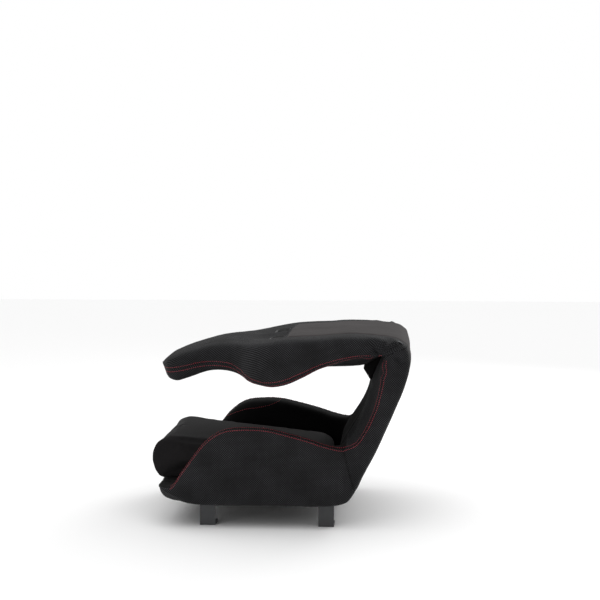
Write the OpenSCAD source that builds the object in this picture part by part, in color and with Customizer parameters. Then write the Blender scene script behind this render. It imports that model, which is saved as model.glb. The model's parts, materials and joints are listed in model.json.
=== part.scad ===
// Folding bucket seat for a racing rig: two welded tube frames joined by a hinge on each side,
// moulded foam pads, sewn covers, a loose seat cushion and two bolt-down brackets.
// It is drawn as it is stored, with the backrest folded forward over the seat.
// X runs across the seat, the seat faces -Y, and Z = 0 is the underside of the bracket feet.

/* [Seat] */
// Half width over the lower side covers
hip_half_w = 246; // [243:0.5:250]
// Width of each thigh bolster
bolster_w = 64; // [56:1:64]
// Width of the loose seat cushion
cushion_w = 344; // [320:2:346]
// Thickness of the sewn covers
cover_t = 2.5; // [1.5:0.5:2.5]

/* [Fold] */
// Height of the fold hinge above the feet
fold_z = 401; // [400:1:402]
// Distance of the fold hinge behind the seat's middle
fold_y = 287; // [286:1:288]
// How far the backrest opens, in degrees
fold_open = 115; // [90:1:115]

/* [Frame] */
// Distance of the seat rails from the middle
rail_x = 205; // [203:1:206]
// Outer radius of the rails and the backrest hoop
rail_r = 11; // [9:0.5:11]
// Wall of the frame tubes
tube_wall = 1.5; // [1:0.25:2.5]
// Outer radius of the cross tubes
cross_r = 8.5; // [7:0.5:9]

/* [Brackets] */
// Distance of each bracket from the seat's middle, front and back
bracket_y = 133; // [120:1:140]
// Width of the flat bar
bar_w = 35; // [30:1:40]
// Thickness of the flat bar
bar_t = 5; // [4:0.5:6]
// Height of the brackets
bracket_h = 49; // [40:1:51]
// Distance of the foot holes from the middle
foot_hole_x = 182; // [175:1:190]
// Diameter of the foot holes
foot_hole_d = 8.5; // [6:0.5:10]

/* [Harness slots] */
// Distance of each slot's centre from the middle
slot_x = 80; // [75:1:85]
// Clear width of each slot
slot_w = 86; // [70:1:90]
// Clear depth of each slot
slot_d = 32; // [24:1:34]

/* [Hidden] */

cover_gap = cover_t + 0.5;    // from the outer surface in to the foam
pad_w = 150;                  // half width of the middle pads
foam_split = 151.2;           // where the side foams begin
slot_y = 12;                  // the harness slots' centre
slot_wall = 2.5;
hub_r = 18;                   // round end of a hinge plate
plate_t = 5;
pivot_r = 6;
bush_r = 8;
guide_r = 13.5;               // the stop pin's distance from the pivot
stop_pin_r = 2.5;
run_fit = 0.05;
upper_tube_x = rail_x - 6;
plate_lower_x = rail_x + rail_r + 0.3;
plate_upper_x = upper_tube_x + rail_r + 0.1;
bolt_x = 150;
washer_t = 1.6;

// The outer surface of the back in the middle, as [y, z], from the bottom up to the fold
rear_line = [[176, 59], [192, 68], [213, 109], [242, 165], [263, 211], [285, 262],
    [302, 302], [313, 335], [318, 368], [319, 391]];
// Round the fold
fold_line = [[319, 391], [315, 405], [306, 415], [294, 421], [282, 425]];
// From the fold over the shoulders to the tip of the headrest
top_line = [[282, 425], [251, 430], [207, 434], [163, 433], [119, 429], [74, 427], [42, 425],
    [9, 421], [-43, 413], [-78, 411], [-100, 410], [-132, 406], [-160, 397], [-192, 388],
    [-215, 380], [-240, 368], [-262, 350]];
panel_end = 6;                // the smooth rear panel ends at this point of top_line

// Front of the lower back pad, from the seat up to the fold
pad_line = [[155, 141], [158, 161], [167, 185], [183, 211], [198, 233], [212, 258],
    [221, 280], [228, 309], [233, 324], [240, 343], [250, 358], [262, 373]];
// Centres of the frame tubes
rail_path = [for (p = [[-204, 82], [-170, 76], [-130, 71], [-90, 70], [130, 70], [160, 75],
    [187, 98], [213, 152], [240, 211], [263, 262], [279, 305], [287, 340], [289, 372]])
    [rail_x, p.x, p.y]];
hoop_path = [[upper_tube_x, 258, 404], [upper_tube_x, 225, 407], [upper_tube_x, 150, 410],
    [upper_tube_x - 2, 60, 408], [188, 15, 403], [160, -25, 396], [126, -58, 387],
    [106, -90, 380], [100, -130, 372], [100, -185, 360], [84, -213, 353], [52, -226, 350],
    [0, -228, 350]];

// Outer outline of the backrest seen from above, as [x, y], from the fold to the tip
plan_line = [[228, 276], [231, 258], [240, 200], [249, 150], [255, 110], [258, 75], [258, 45],
    [255, 15], [243, -15], [213, -40], [176, -62], [157, -80], [149, -100], [147, -150],
    [151, -200], [146, -238], [128, -252], [60, -262], [0, -264]];
// Lower edge of the backrest's side, as [y, z]
hem_line = [[276, 392], [262, 388], [234, 388], [208, 387], [175, 382], [143, 376], [113, 366],
    [78, 350], [45, 335], [23, 329], [-5, 329], [-37, 334], [-59, 348], [-82, 357],
    [-122, 358], [-156, 354], [-191, 346], [-225, 342], [-264, 344]];

// Pad sections: the low edge's [y, z], the high edge's [y, z], then the least and greatest x
side_x = [hip_half_w - cover_gap - bolster_w, hip_half_w - cover_gap];
thigh_sections = [for (s = [[-238, 81, -236, 91], [-212, 70, -212, 98], [-185, 61, -185, 134],
    [-158, 57, -158, 168], [-131, 56, -131, 197], [-95, 56, -95, 217], [-50, 56, -50, 223],
    [0, 56, 0, 219], [65, 56, 65, 207], [120, 58, 117, 189], [165, 62, 152, 180],
    [186, 70, 172, 176]]) concat(s, side_x)];
back_x = [foam_split, hip_half_w - cover_gap];
lumbar_sections = [for (s = [[171, 179, 239, 172], [197, 192, 247, 190], [223, 226, 261, 222],
    [246, 278, 283, 274], [257, 324, 301, 320], [261, 357, 309, 354], [261, 376, 311, 384]])
    concat(s, back_x)];
heel_sections = [for (s = [[184.5, 78, 189, 76.5], [182.5, 93, 196, 90], [179, 122, 212, 118],
    [175, 152, 227, 147], [172, 175, 238, 169]]) concat(s, back_x)];
wing_sections = [[265, 387, 265, 424, foam_split, 223], [235, 386, 235, 428, foam_split, 227],
    [200, 384, 200, 430, foam_split, 233], [150, 375, 150, 429, foam_split, 242],
    [110, 360, 110, 425, foam_split, 248], [75, 343, 75, 424, foam_split, 251],
    [45, 330, 45, 421, foam_split, 251], [15, 323, 15, 418, foam_split, 248],
    [-15, 323, -15, 413, foam_split, 236], [-40, 331, -40, 409, 113, 207],
    [-62, 343, -62, 407, 113, 170]];
neck_sections = [[-16, 352, -16, 413, -150, 150], [-40, 348, -40, 409, -111.5, 111.5],
    [-62, 345, -62, 407, -111.5, 111.5]];
head_sections = [for (s = [[-63, 343, 407, 167], [-82, 341, 407, 149], [-100, 341, 406, 141],
    [-132, 341, 402, 139], [-160, 335, 393, 139], [-190, 325, 384, 143],
    [-215, 320, 376, 141], [-240, 332, 363, 132], [-252, 344, 349, 86]])
    [s[0], s[1], s[0], s[2], -s[3], s[3]]];

// ---- helpers ----

function pick(p, i) = p[max(0, min(len(p) - 1, i))];
// A smooth curve through p, which a list of numbers or of sections can be
function spline(p, t) =
    let (i = min(len(p) - 2, floor(t)), f = t - i,
        a = pick(p, i - 1), b = pick(p, i), c = pick(p, i + 1), d = pick(p, i + 2))
    0.5 * (2 * b + (c - a) * f + (2 * a - 5 * b + 4 * c - d) * f * f
        + (3 * b - a - 3 * c + d) * f * f * f);
function smooth(p, n) = [for (i = [0:n]) spline(p, i * (len(p) - 1) / n)];
function reversed(p) = [for (i = [len(p) - 1:-1:0]) p[i]];
function part_of(p, a, b) = [for (i = [a:b]) p[i]];
// Moves an outline to its left by d
function shifted(p, d) = [for (i = [0:len(p) - 1])
    let (u = pick(p, i + 1) - pick(p, i - 1), n = norm(u)) p[i] + d / n * [-u.y, u.x]];
// The closed outline between an open outline's two shifts
function ribbon(p, near, far) = concat(shifted(p, near), reversed(shifted(p, far)));
function arc(c, r, from, to, n) = [for (i = [0:n])
    let (a = from + (to - from) * i / n) c + r * [cos(a), sin(a)]];
// A slot with round ends, grown by g
function slot(w, d, g) = let (r = d / 2 + g, e = w / 2 - d / 2)
    concat(arc([e, 0], r, -90, 90, 12), arc([-e, 0], r, 90, 270, 12));

// A [y, z] outline drawn across the seat from x0 to x1
module across(outline, x0, x1) {
    translate([x0, 0, 0]) rotate([90, 0, 90]) linear_extrude(x1 - x0) polygon(outline);
}
module both_sides() { children(); mirror([1, 0, 0]) children(); }
module right_side() { mirror([1, 0, 0]) children(); }
module rod_x(x0, x1, y, z, r, sides = 48) {
    translate([x0, y, z]) rotate([0, 90, 0]) cylinder(h = x1 - x0, r = r, $fn = sides);
}

function flat(lists) = [for (a = lists, b = a) b];
// Triangles between n rings of m points, each ring after the last
function sides(n, m, first = 0) = [for (i = [0:n - 2], j = [0:m - 1])
    let (a = first + i * m + j, b = first + i * m + (j + 1) % m) each [[a, a + m, b],
        [b, a + m, b + m]]];
function turned(faces) = [for (f = faces) reversed(f)];

// A closed solid through rings of points
module skin(rings) {
    n = len(rings);
    m = len(rings[0]);
    last = (n - 1) * m;
    polyhedron(flat(rings), concat(sides(n, m),
        [for (j = [1:m - 2]) [0, j, j + 1]],
        [for (j = [1:m - 2]) [last, last + j + 1, last + j]]), convexity = 6);
}

// A round tube bent along a path
module bent_tube(path, r, wall) {
    m = 12;
    n = len(path);
    function ring(i, q) =
        let (u = pick(path, i + 1) - pick(path, i - 1), w = u / norm(u),
            s = cross(w, [0, 0.13, 1]), v = s / norm(s), t = cross(w, v))
        [for (j = [0:m - 1]) path[i] + q * (cos(360 * j / m) * v + sin(360 * j / m) * t)];
    hollow = n * m;
    last = (n - 1) * m;
    polyhedron(concat(flat([for (i = [0:n - 1]) ring(i, r)]),
            flat([for (i = [0:n - 1]) ring(i, r - wall)])),
        concat(turned(sides(n, m)), sides(n, m, hollow),
            flat([for (j = [0:m - 1]) let (k = (j + 1) % m)
                [[j, k, hollow + j], [k, hollow + k, hollow + j],
                [last + k, last + j, hollow + last + j],
                [last + k, hollow + last + j, hollow + last + k]]])), convexity = 6);
}

// A pad with rounded edges through sections, as its tables give them
module pad(sections, n, r) {
    p = smooth(sections, n);
    function ring(s) =
        let (a = [0, s[0], s[1]], b = [0, s[2], s[3]], h = norm(b - a), up = (b - a) / h,
            q = min(r, h / 2 - 0.3, (s[5] - s[4]) / 2 - 1))
        [for (c = [[s[5] - q, h - q, 0], [s[4] + q, h - q, 90], [s[4] + q, q, 180],
            [s[5] - q, q, 270]], k = [0:3])
            let (t = c.z + 30 * k) a + [c.x + q * cos(t), 0, 0] + (c.y + q * sin(t)) * up];
    skin([for (s = p) ring(s)]);
}
// A round tube across the seat between two bent ones
module cross_tube(half, y, z) {
    difference() {
        rod_x(-half, half, y, z, cross_r);
        rod_x(-half - 1, half + 1, y, z, cross_r - tube_wall);
    }
}

// ---- lower frame ----

lower_cross = [[-192, 80], [-bracket_y, 70], [bracket_y, 70], [205, 134], [272, 285]];
strap_places = [-95, -35, 25, 85];
back_strap_places = [[205, 165], [236.5, 235]];
back_lean = 24;
strap_w = 46;
strap_reach = rail_x + 9;

module boss(x, y) {
    translate([x, y, bracket_h + 0.3]) difference() {
        cylinder(h = 70 - cross_r - bracket_h, r = 8, $fn = 48);
        translate([0, 0, -1]) cylinder(h = 20, r = 4.1, $fn = 48);
    }
}
module lower_frame() {
    color("dimgray") {
        both_sides() bent_tube(rail_path, rail_r, tube_wall);
        for (c = lower_cross) cross_tube(rail_x - rail_r + 0.3, c.x, c.y);
        for (x = [-bolt_x, bolt_x], y = [-bracket_y, bracket_y]) boss(x, y);
    }
}
module seat_straps() {
    color("black") for (y = strap_places)
        translate([-strap_reach, y - strap_w / 2, 81.4]) cube([2 * strap_reach, strap_w, 2]);
}
module lower_back_straps() {
    color("black") for (p = back_strap_places)
        translate([0, p.x, p.y]) rotate([-back_lean, 0, 0])
            cube([2 * strap_reach, 2, strap_w], center = true);
}

// ---- lower foams and covers ----

module base_foam() {
    color("gray") difference() {
        across([[-244, 94], [-250, 80], [-245, 69], [-214, 58], [-176, 57], [-176, 84],
            [150, 84], [150, 94]], -176, 176);
        rod_x(-180, 180, lower_cross[0].x, lower_cross[0].y, cross_r + 0.5);
    }
}
module thigh_bolster() { color("gray") pad(thigh_sections, 20, 22); }
module thigh_bolster_foam_left() { thigh_bolster(); }
module thigh_bolster_foam_right() { right_side() thigh_bolster(); }
module lumbar_bolster() { color("gray") pad(lumbar_sections, 14, 14); }
module lumbar_bolster_foam_left() { lumbar_bolster(); }
module lumbar_bolster_foam_right() { right_side() lumbar_bolster(); }
module heel_bolster() { color("gray") pad(heel_sections, 8, 8); }
module heel_foam_left() { heel_bolster(); }
module heel_foam_right() { right_side() heel_bolster(); }
module lower_back_foam() {
    rear = shifted(part_of([for (p = rail_path) [p.y, p.z]], 6, 12), rail_r + 4);
    color("gray") across(concat([[155, 98]], shifted(pad_line, -cover_gap), reversed(rear)),
        -pad_w, pad_w);
}
module lower_rear_foam() {
    color("gray") across(ribbon(part_of(rear_line, 1, 8), cover_gap, 8.5), -pad_w, pad_w);
}
side_outline = concat([[-240, 90], [-206, 98]],
    [for (s = part_of(thigh_sections, 2, 9)) [s[2], s[3] - 4]],
    [[203, 190], [226, 226], [248, 279], [259, 325], [266, 358], [267, 380]],
    [[290, 384]], shifted(reversed(part_of(rear_line, 1, 9)), -1), [[176, 60], [-150, 57],
    [-206, 70], [-236, 82]]);
module side_cover() {
    color("black") across(side_outline, hip_half_w - cover_t, hip_half_w);
}
module side_cover_left() { side_cover(); }
module side_cover_right() { right_side() side_cover(); }
module lower_rear_cover() {
    color("dimgray") across(ribbon(rear_line, 0, cover_t),
        -hip_half_w + cover_gap, hip_half_w - cover_gap);
}
module lower_front_cover() {
    color("black") across(ribbon(pad_line, 0, -cover_t), -pad_w, pad_w);
}
module dust_cover() {
    color("black") difference() {
        translate([-190, -170, 52]) cube([380, 340, 2]);
        for (x = [-bolt_x, bolt_x], y = [-bracket_y, bracket_y])
            translate([x, y, 40]) cylinder(h = 20, r = 8.5, $fn = 32);
    }
}
module fold_sleeve() {
    color("dimgray") across(ribbon(fold_line, 0, cover_t),
        -hip_half_w + cover_gap + 12, hip_half_w - cover_gap - 12);
}
module fold_gusset_foam() {
    color("gray") across([[216, 351], [241, 369], [262, 382], [263, 377], [250, 362],
        [239, 346], [231, 325], [222, 335]], -pad_w + 10, pad_w - 10);
}

// ---- brackets ----

leg_x = rail_x;
module bracket(y) {
    color("slategray") difference() {
        translate([0, y + bar_w / 2, 0]) rotate([90, 0, 0]) linear_extrude(bar_w) polygon([
            [-leg_x, 0], [-leg_x, bracket_h], [leg_x, bracket_h], [leg_x, 0],
            [leg_x - 44, 0], [leg_x - 44, bar_t], [leg_x - bar_t, bar_t],
            [leg_x - bar_t, bracket_h - bar_t], [-leg_x + bar_t, bracket_h - bar_t],
            [-leg_x + bar_t, bar_t], [-leg_x + 44, bar_t], [-leg_x + 44, 0]]);
        for (x = [-foot_hole_x, foot_hole_x])
            translate([x, y, -1]) cylinder(h = bar_t + 2, d = foot_hole_d, $fn = 48);
        for (x = [-bolt_x, bolt_x])
            translate([x, y, bracket_h - bar_t - 1]) cylinder(h = bar_t + 2, r = 4.5, $fn = 48);
    }
}
module front_bracket() { bracket(-bracket_y); }
module rear_bracket() { bracket(bracket_y); }
module bracket_bolts() {
    color("silver") for (x = [-bolt_x, bolt_x], y = [-bracket_y, bracket_y])
        translate([x, y, bracket_h - bar_t - washer_t]) {
            cylinder(h = 18, r = 4, $fn = 48);
            translate([0, 0, -5.3]) cylinder(h = 5.3, r = 7.5, $fn = 6);
        }
}
module bracket_washers() {
    color("silver") for (x = [-bolt_x, bolt_x], y = [-bracket_y, bracket_y])
        translate([x, y, bracket_h - bar_t - washer_t]) difference() {
            cylinder(h = washer_t, r = 8, $fn = 48);
            translate([0, 0, -1]) cylinder(h = washer_t + 2, r = 4.2, $fn = 48);
        }
}

// ---- hinges ----

// A plate with a round end about the fold; stem points are [y, z]
module hinge_plate(x, stem, from, to) {
    across(concat(arc([fold_y, fold_z], hub_r, from, to, 30), stem), x, x + plate_t);
}
guide_rest = 200;
module hinge_plate_lower() {
    slack = 0.6;
    color("slategray") difference() {
        hinge_plate(plate_lower_x, [[276, 330], [302, 330]], -20, 200);
        rod_x(plate_lower_x - 1, plate_lower_x + plate_t + 1, fold_y, fold_z, bush_r);
        across(concat(
            arc([fold_y, fold_z], guide_r - stop_pin_r - 0.2, guide_rest - fold_open - 12,
                guide_rest + 12, 24),
            arc([fold_y, fold_z], guide_r + stop_pin_r + 0.2, guide_rest + 12,
                guide_rest - fold_open - 12, 24)),
            plate_lower_x - slack, plate_lower_x + plate_t + slack);
    }
}
module hinge_plate_lower_left() { hinge_plate_lower(); }
module hinge_plate_lower_right() { right_side() hinge_plate_lower(); }
module hinge_plate_upper() {
    color("slategray") difference() {
        hinge_plate(plate_upper_x, [[226, 416], [226, 398]], -110, 110);
        rod_x(plate_upper_x - 1, plate_upper_x + plate_t + 1, fold_y, fold_z, pivot_r + run_fit);
        guide_bore(0.02);
    }
}
module guide_bore(grow) {
    c = [fold_y, fold_z] + guide_r * [cos(guide_rest), sin(guide_rest)];
    rod_x(plate_upper_x + 1 - 4 * grow, plate_lower_x + plate_t - 0.2, c.x, c.y,
        stop_pin_r + grow);
}
module hinge_plate_upper_left() { hinge_plate_upper(); }
module hinge_plate_upper_right() { right_side() hinge_plate_upper(); }
bush_gap = plate_lower_x - plate_upper_x - plate_t;
module hinge_bushes() {
    color("peru") both_sides() difference() {
        union() {
            rod_x(plate_lower_x, plate_lower_x + plate_t + 0.4, fold_y, fold_z, bush_r);
            rod_x(plate_lower_x - bush_gap + 0.1, plate_lower_x, fold_y, fold_z, bush_r + 2);
        }
        rod_x(plate_lower_x - 5, plate_lower_x + plate_t + 2, fold_y, fold_z, pivot_r + run_fit);
    }
}
head_x = plate_lower_x + plate_t + 0.5;
module pivot_bolts() {
    color("silver") both_sides() {
        rod_x(plate_upper_x - 9, head_x, fold_y, fold_z, pivot_r);
        rod_x(head_x, head_x + 4.5, fold_y, fold_z, 10);
    }
}
module pivot_nuts() {
    color("silver") both_sides() difference() {
        translate([plate_upper_x - 7.2, fold_y, fold_z]) rotate([0, 90, 0])
            cylinder(h = 7, r = 10.5, $fn = 6);
        rod_x(plate_upper_x - 8, plate_upper_x, fold_y, fold_z, pivot_r + 0.02);
    }
}
module stop_pins() { color("silver") both_sides() guide_bore(0); }

// ---- loose cushion ----

cushion_outline = [[-247, 96], [-257, 101], [-267, 118], [-272, 139], [-270, 160], [-262, 180],
    [-247, 189], [-225, 188], [-151, 180], [-52, 169], [48, 157], [118, 149], [136, 143],
    [144, 128], [144, 108], [138, 96]];
module seat_cushion_foam() {
    color("gray") across(shifted(cushion_outline, -cover_gap),
        -cushion_w / 2 + cover_gap, cushion_w / 2 - cover_gap);
}
module seat_cushion_cover() {
    color("black") difference() {
        across(cushion_outline, -cushion_w / 2, cushion_w / 2);
        across(shifted(cushion_outline, -cover_t), -cushion_w / 2 + cover_t,
            cushion_w / 2 - cover_t);
    }
}

// ---- upper frame ----

upper_cross = [[205, 408, upper_tube_x], [60, 407, upper_tube_x - 3], [-90, 380, 107]];
upper_strap_places = [170, 105];
module upper_frame() {
    half = part_of(hoop_path, 0, len(hoop_path) - 2);
    mid = hoop_path[len(hoop_path) - 1];
    color("dimgray") {
        bent_tube(concat(half, [mid], [for (p = reversed(half)) [-p.x, p.y, p.z]]), rail_r,
            tube_wall);
        for (c = upper_cross) cross_tube(c.z - rail_r + 0.3, c.x, c.y);
    }
}
module upper_straps() {
    color("black") for (y = upper_strap_places)
        translate([-206, y - strap_w / 2, 394.5]) cube([412, strap_w, 2]);
}

// ---- upper foams and covers ----

module slot_pair(grow, z0, z1) {
    for (x = [-slot_x, slot_x]) translate([x, slot_y, z0])
        linear_extrude(z1 - z0) polygon(slot(slot_w, slot_d, grow));
}
module shoulder_wing() { color("gray") pad(wing_sections, 20, 16); }
module shoulder_wing_foam_left() { shoulder_wing(); }
module shoulder_wing_foam_right() { right_side() shoulder_wing(); }
module upper_back_foam() {
    color("gray") difference() {
        across([[262, 388], [215, 359.5], [150, 357], [80, 355], [-15, 352], [-15, 393],
            [262, 393]], -pad_w, pad_w);
        slot_pair(slot_wall + 0.5, 340, 450);
    }
}
module upper_rear_foam() {
    color("gray") difference() {
        across(ribbon(part_of(top_line, 1, 7), cover_gap, 9), -pad_w, pad_w);
        slot_pair(slot_wall + 0.5, 340, 450);
    }
}
module neck_foam() { color("gray") pad(neck_sections, 6, 8); }
module headrest_foam() { color("gray") pad(head_sections, 16, 20); }
module inside_plan(inset) {
    edge = part_of(shifted(plan_line, -inset), 0, len(plan_line) - 2);
    translate([0, 0, 300]) linear_extrude(160)
        polygon(concat(edge, [for (p = reversed(edge)) [-p.x, p.y]]));
}
module upper_rear_cover() {
    color("dimgray") intersection() {
        across(ribbon(part_of(top_line, 0, panel_end), 0, cover_t), -300, 300);
        inside_plan(cover_gap);
    }
}
module shoulder_cover() {
    back = concat([top_line[panel_end] - [0.4, 0]], part_of(top_line, 7, 16));
    color("black") difference() {
        intersection() {
            across(ribbon(back, 0, cover_t), -300, 300);
            inside_plan(cover_gap);
        }
        slot_pair(slot_wall + 0.5, 340, 450);
    }
}
module upper_side_cover() {
    color("black") intersection() {
        translate([0, 0, 300]) linear_extrude(160) polygon(ribbon(plan_line, 0, -cover_t));
        across(concat(shifted(top_line, 0.5), reversed(hem_line)), 0, 300);
    }
}
module upper_side_cover_left() { upper_side_cover(); }
module upper_side_cover_right() { right_side() upper_side_cover(); }
module upper_front_cover() {
    color("black") difference() {
        across(ribbon([[214, 356], [150, 353.5], [80, 351.5], [-15, 348.5]], 0, -cover_t),
            -pad_w, pad_w);
        slot_pair(slot_wall + 0.5, 340, 450);
    }
}
module harness_slot_trim() {
    low = 344;
    high = 427;
    color("black") translate([slot_x, slot_y, 0]) difference() {
        union() {
            translate([0, 0, low]) linear_extrude(high - low)
                polygon(slot(slot_w, slot_d, slot_wall));
            for (z = [low, high - 3]) translate([0, 0, z]) linear_extrude(3)
                polygon(slot(slot_w, slot_d, 8));
        }
        translate([0, 0, low - 1]) linear_extrude(high - low + 2)
            polygon(slot(slot_w, slot_d, 0));
    }
}
module harness_slot_trim_left() { harness_slot_trim(); }
module harness_slot_trim_right() { right_side() harness_slot_trim(); }

lower_frame();
seat_straps();
lower_back_straps();
base_foam();
thigh_bolster_foam_left();
thigh_bolster_foam_right();
lumbar_bolster_foam_left();
lumbar_bolster_foam_right();
heel_foam_left();
heel_foam_right();
lower_back_foam();
lower_rear_foam();
side_cover_left();
side_cover_right();
lower_rear_cover();
lower_front_cover();
dust_cover();
fold_sleeve();
fold_gusset_foam();
front_bracket();
rear_bracket();
bracket_bolts();
bracket_washers();
hinge_plate_lower_left();
hinge_plate_lower_right();
hinge_bushes();
seat_cushion_foam();
seat_cushion_cover();
upper_frame();
hinge_plate_upper_left();
hinge_plate_upper_right();
pivot_bolts();
pivot_nuts();
stop_pins();
upper_straps();
upper_back_foam();
upper_rear_foam();
shoulder_wing_foam_left();
shoulder_wing_foam_right();
neck_foam();
headrest_foam();
upper_rear_cover();
shoulder_cover();
upper_side_cover_left();
upper_side_cover_right();
upper_front_cover();
harness_slot_trim_left();
harness_slot_trim_right();
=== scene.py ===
import json
import math
import bmesh
import bpy
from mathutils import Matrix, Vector, noise


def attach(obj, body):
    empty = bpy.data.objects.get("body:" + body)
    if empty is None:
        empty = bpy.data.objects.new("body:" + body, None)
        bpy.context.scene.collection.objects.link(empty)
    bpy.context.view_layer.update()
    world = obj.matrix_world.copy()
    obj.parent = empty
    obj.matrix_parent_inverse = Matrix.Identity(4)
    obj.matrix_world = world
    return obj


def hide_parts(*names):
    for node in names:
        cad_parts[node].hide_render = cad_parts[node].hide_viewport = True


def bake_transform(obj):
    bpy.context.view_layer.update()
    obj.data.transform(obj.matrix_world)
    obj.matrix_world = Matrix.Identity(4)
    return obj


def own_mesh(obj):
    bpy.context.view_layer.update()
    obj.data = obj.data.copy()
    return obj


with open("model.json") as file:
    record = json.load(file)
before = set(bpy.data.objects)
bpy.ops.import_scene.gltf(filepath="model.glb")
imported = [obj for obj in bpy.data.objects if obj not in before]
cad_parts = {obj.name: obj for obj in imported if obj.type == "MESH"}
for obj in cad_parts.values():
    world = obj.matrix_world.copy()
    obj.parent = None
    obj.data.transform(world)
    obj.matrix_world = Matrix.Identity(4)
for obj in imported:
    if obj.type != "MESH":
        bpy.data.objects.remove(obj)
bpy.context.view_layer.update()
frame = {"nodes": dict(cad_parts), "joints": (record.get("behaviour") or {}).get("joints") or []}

# Folding bucket seat. All outlines are (y, z) in millimetres, in the frame's own axes:
# x across the seat, -y is the way it faces, z up.
mm = 0.001
foldJoint = next(j for j in frame["joints"] if j["name"] == "backrest_fold")
foldY = foldJoint["pos_m"][1] / mm
foldZ = foldJoint["pos_m"][2] / mm


def deselectAll():
    if bpy.context.object and bpy.context.object.mode != "OBJECT":
        bpy.ops.object.mode_set(mode="OBJECT")
    bpy.ops.object.select_all(action="DESELECT")


def makeActive(piece):
    deselectAll()
    piece.select_set(True)
    bpy.context.view_layer.objects.active = piece


def editPiece(piece, action, kind="VERT"):
    makeActive(piece)
    bpy.ops.object.mode_set(mode="EDIT")
    bpy.ops.mesh.select_mode(type=kind)
    bpy.ops.mesh.select_all(action=action)


def applyModifiers(piece):
    makeActive(piece)
    for modifier in list(piece.modifiers):
        bpy.ops.object.modifier_apply(modifier=modifier.name)


def settle(piece):
    makeActive(piece)
    bpy.ops.object.transform_apply(location=True, rotation=True, scale=True)


def between(points, t):
    # a smooth curve through the given points, close to a straight line where they are far apart
    last = len(points) - 1
    i = min(int(t), last - 1)
    p1, p2 = Vector(points[i]), Vector(points[i + 1])
    p0 = Vector(points[i - 1]) if i > 0 else p1 * 2 - p2
    p3 = Vector(points[i + 2]) if i + 2 <= last else p2 * 2 - p1
    k1 = max((p1 - p0).length, 1e-6) ** 0.5
    k2 = k1 + max((p2 - p1).length, 1e-6) ** 0.5
    k3 = k2 + max((p3 - p2).length, 1e-6) ** 0.5
    k = k1 + (k2 - k1) * (t - i)
    a1 = p0 * ((k1 - k) / k1) + p1 * (k / k1)
    a2 = p1 * ((k2 - k) / (k2 - k1)) + p2 * ((k - k1) / (k2 - k1))
    a3 = p2 * ((k3 - k) / (k3 - k2)) + p3 * ((k - k2) / (k3 - k2))
    b1 = a1 * ((k2 - k) / k2) + a2 * (k / k2)
    b2 = a2 * ((k3 - k) / (k3 - k1)) + a3 * ((k - k1) / (k3 - k1))
    return b1 * ((k2 - k) / (k2 - k1)) + b2 * ((k - k1) / (k2 - k1))


def valueAt(values, t):
    i = min(int(t), len(values) - 2)
    f = t - i
    b, c = values[i], values[i + 1]
    slopeB = (c - values[i - 1]) / 2 if i else c - b
    slopeC = (values[i + 2] - b) / 2 if i + 2 < len(values) else c - b
    return (b * (1 + 2 * f) * (1 - f) ** 2 + slopeB * f * (1 - f) ** 2
            + c * f * f * (3 - 2 * f) - slopeC * f * f * (1 - f))


def steps(marks):
    # marks are (place, how many steps to the next place)
    out = []
    for (a, count), (b, _) in zip(marks, marks[1:]):
        out += [a + (b - a) * k / count for k in range(count)]
    return out + [marks[-1][0]]


def linear(hexColour):
    parts = [int(hexColour[i:i + 2], 16) / 255 for i in (1, 3, 5)]
    return tuple(c / 12.92 if c <= 0.04045 else ((c + 0.055) / 1.055) ** 2.4
                 for c in parts) + (1.0,)


def addNode(tree, kind, settings=None, inputs=None, stops=None):
    node = tree.nodes.new(kind)
    for key, value in (settings or {}).items():
        setattr(node, key, value)
    for key, value in (inputs or {}).items():
        if isinstance(value, bpy.types.NodeSocket):
            tree.links.new(value, node.inputs[key])
        else:
            node.inputs[key].default_value = value
    for element, (place, hexColour) in zip(node.color_ramp.elements if stops else [], stops or []):
        element.position = place
        element.color = linear(hexColour)
    return node


def newMaterial(name, roughness, sheen=0.0, metallic=0.0, coat=0.0, specular=0.5):
    material = bpy.data.materials.new(name)
    material.use_nodes = True
    tree = material.node_tree
    shader = tree.nodes["Principled BSDF"]
    shader.inputs["Roughness"].default_value = roughness
    shader.inputs["Metallic"].default_value = metallic
    shader.inputs["Sheen Weight"].default_value = sheen
    shader.inputs["Sheen Roughness"].default_value = 0.45
    shader.inputs["Coat Weight"].default_value = coat
    shader.inputs["Specular IOR Level"].default_value = specular
    return material, tree, shader


def wire(tree, shader, colour, bump=None):
    tree.links.new(colour, shader.inputs["Base Color"])
    if bump:
        tree.links.new(bump.outputs["Normal"], shader.inputs["Normal"])


# the pores are drawn at 5 mm, a little coarser than the real ones, so that they show
spacerMesh = {"pore": 5.0, "dot": 0.25, "yarn": "#030303", "glint": "#444447",
              "haze": "#060607"}


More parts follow.
